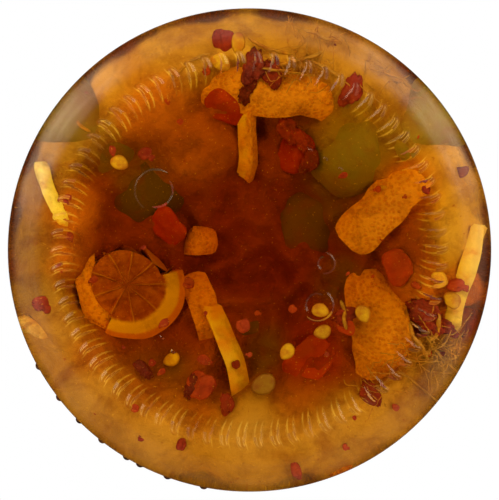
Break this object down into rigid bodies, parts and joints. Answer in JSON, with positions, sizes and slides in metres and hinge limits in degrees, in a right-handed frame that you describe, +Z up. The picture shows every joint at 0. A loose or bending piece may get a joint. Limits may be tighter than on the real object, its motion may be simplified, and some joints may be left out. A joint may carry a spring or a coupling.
{
  "type": "jar of marinated olives",
  "caption": "Round screw-lid glass jar of marinated olives, citrus peel and chilli in oil, standing on a ribbed resting ring round a hollow base.",
  "frame": {"origin": "on the jar's axis, in the plane that its base ribs rest on", "axes": "+Z up along the jar's axis; +X and +Y level, with the mould code dots on the heel between bearings of 101 and 151 degrees from +X towards +Y"},
  "size_m": [0.075, 0.075, 0.1093],
  "materials": {
    "glass": "clear smooth container glass",
    "filling": "amber oil round olives, orange peel, citrus and chilli",
    "lid": "black satin lacquer on sheet steel",
    "seal": "matt pale sealing compound"
  },
  "bodies": {
    "root": {"glass_jar": "glass", "filling": "filling", "lid": "lid", "lid_seal": "seal"}
  },
  "joints": []
}
